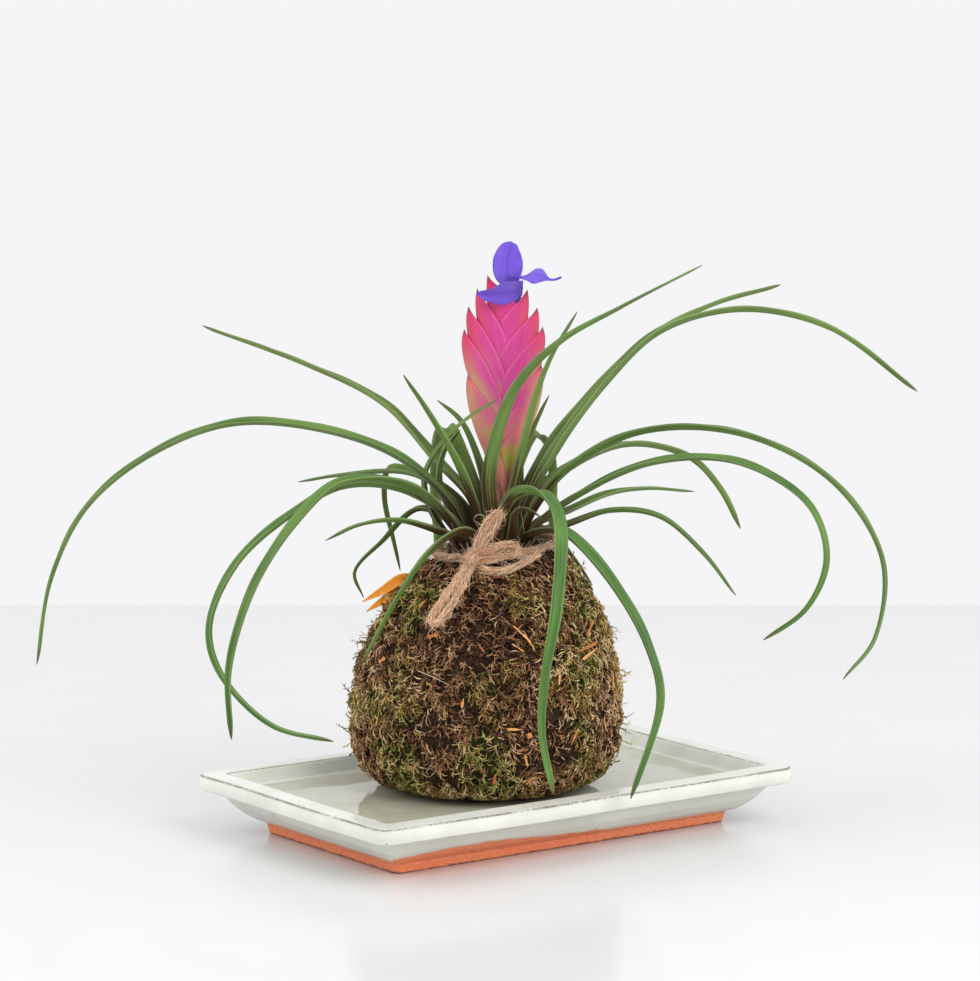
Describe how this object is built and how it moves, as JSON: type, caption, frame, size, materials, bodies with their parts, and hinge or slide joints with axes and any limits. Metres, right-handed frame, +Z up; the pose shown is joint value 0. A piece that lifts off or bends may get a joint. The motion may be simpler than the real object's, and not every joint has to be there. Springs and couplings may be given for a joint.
{
  "type": "kokedama moss ball plant",
  "caption": "Flowering air plant growing from a moss ball tied with jute twine, standing on a footed glazed clay tray.",
  "frame": {"origin": "on the table, under the middle of the whole outline, leaves included", "axes": "+Z up, +X along the tray's long side, -Y towards the long side of the tray that faces the viewer's right"},
  "size_m": [0.3171, 0.3141, 0.2466],
  "materials": {
    "glazed_clay": "gloss",
    "sheet_moss": "matte",
    "root_soil": "matte",
    "plant_stem": "matte",
    "leaf": "satin",
    "bract": "satin",
    "petal": "matte",
    "jute_fibre": "matte",
    "orange_paper": "satin"
  },
  "bodies": {
    "root": {"tray": "glazed_clay", "moss_layer": "sheet_moss", "root_ball": "root_soil", "crown_stem": "plant_stem", "jute_twine": "jute_fibre", "flower_spike": "bract", "flower": "petal", "orange_ornament": "orange_paper", "leaf_01": "leaf", "leaf_02": "leaf", "leaf_03": "leaf", "leaf_04": "leaf", "leaf_05": "leaf", "leaf_06": "leaf", "leaf_07": "leaf", "leaf_08": "leaf", "leaf_09": "leaf", "leaf_10": "leaf", "leaf_11": "leaf", "leaf_12": "leaf", "leaf_13": "leaf", "leaf_14": "leaf", "leaf_15": "leaf", "leaf_16": "leaf", "leaf_17": "leaf", "leaf_18": "leaf", "leaf_19": "leaf", "leaf_20": "leaf", "leaf_21": "leaf", "leaf_22": "leaf", "leaf_23": "leaf", "leaf_24": "leaf", "leaf_25": "leaf", "leaf_26": "leaf", "leaf_27": "leaf", "leaf_28": "leaf", "leaf_29": "leaf", "leaf_30": "leaf", "leaf_31": "leaf"}
  },
  "joints": []
}
